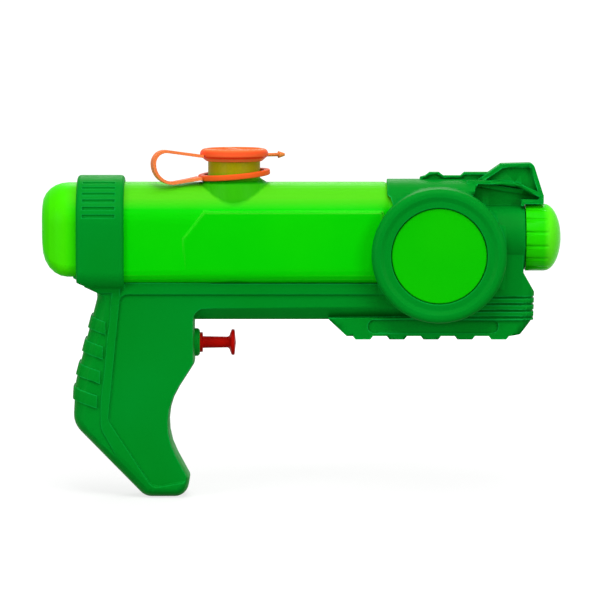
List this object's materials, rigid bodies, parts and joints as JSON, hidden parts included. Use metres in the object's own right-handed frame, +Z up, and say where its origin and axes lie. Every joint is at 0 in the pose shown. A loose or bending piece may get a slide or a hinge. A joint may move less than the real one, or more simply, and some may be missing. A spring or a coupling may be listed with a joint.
{
  "type": "water squirter",
  "caption": "Toy water squirter with a moulded grip, a clear-green tank with tethered filler cap, a push plunger trigger and a turning nozzle cap",
  "frame": {"origin": "Middle of the hand grip, on the parting plane of the two shells", "axes": "+X points to the nozzle, +Z up, +Y to the squirter's left side, away from the camera of the picture"},
  "size_m": [0.2584, 0.058, 0.1737],
  "materials": {
    "frame_green": "dark green moulded plastic, smooth and fairly glossy",
    "tank_green": "light green blow-moulded plastic, slightly translucent, smooth",
    "trim_green": "light green moulded plastic, smooth and glossy",
    "cap_orange": "orange soft plastic, satin",
    "trigger_red": "red moulded plastic, glossy",
    "natural_plastic": "undyed white moulded plastic, satin",
    "hose_clear": "soft milky hose",
    "seal_black": "black rubber",
    "steel": "bright steel"
  },
  "bodies": {
    "frame": {"right_shell": "frame_green", "left_shell": "frame_green", "right_disc": "trim_green", "left_disc": "trim_green", "shell_screws": "steel", "tank": "tank_green", "pump_cylinder": "natural_plastic", "pump_gland": "frame_green", "inlet_fitting": "natural_plastic", "suction_hose": "hose_clear", "delivery_hose": "hose_clear", "nozzle_body": "natural_plastic", "nozzle_tip": "natural_plastic", "nozzle_seal": "seal_black", "return_spring": "steel", "outlet_spring": "steel"},
    "plunger": {"trigger": "trigger_red", "piston_seal": "seal_black"},
    "inlet_valve": {"inlet_ball": "steel"},
    "outlet_valve": {"outlet_ball": "steel"},
    "tether": {"strap_ring": "cap_orange", "cap_strap": "cap_orange"},
    "cap": {"filler_cap": "cap_orange"},
    "nose": {"nozzle_cap": "trim_green"}
  },
  "joints": [
    {"name": "trigger_pull", "type": "slide", "parent": "frame", "child": "plunger", "axis": [-1, 0, 0], "range_m": [0, 0.013], "stiffness_N_per_m": 250, "springref_m": -0.008, "deforming": ["return_spring"]},
    {"name": "inlet_lift", "type": "slide", "parent": "frame", "child": "inlet_valve", "axis": [0, 0, 1], "range_m": [0, 0.0012]},
    {"name": "outlet_lift", "type": "slide", "parent": "frame", "child": "outlet_valve", "axis": [1, 0, 0], "range_m": [0, 0.0012], "deforming": ["outlet_spring"]},
    {"name": "ring_swivel", "type": "hinge", "parent": "frame", "child": "tether", "pos_m": [0.05315, 0, 0.1079], "axis": [0, 0, 1], "continuous": true},
    {"name": "cap_flip", "type": "hinge", "parent": "tether", "child": "cap", "pos_m": [0.01701, -0.01174, 0.1123], "axis": [0.309, -0.9511, 0], "range_deg": [0, 118], "deforming": ["cap_strap"]},
    {"name": "nozzle_twist", "type": "hinge", "parent": "frame", "child": "nose", "pos_m": [0.2072, 0, 0.0765], "axis": [1, 0, 0], "range_deg": [0, 180]}
  ],
  "couplings": [
    {"joint": "inlet_lift", "follows": "trigger_pull", "ratio": 0.09},
    {"joint": "outlet_lift", "follows": "trigger_pull", "ratio": 0.09}
  ]
}
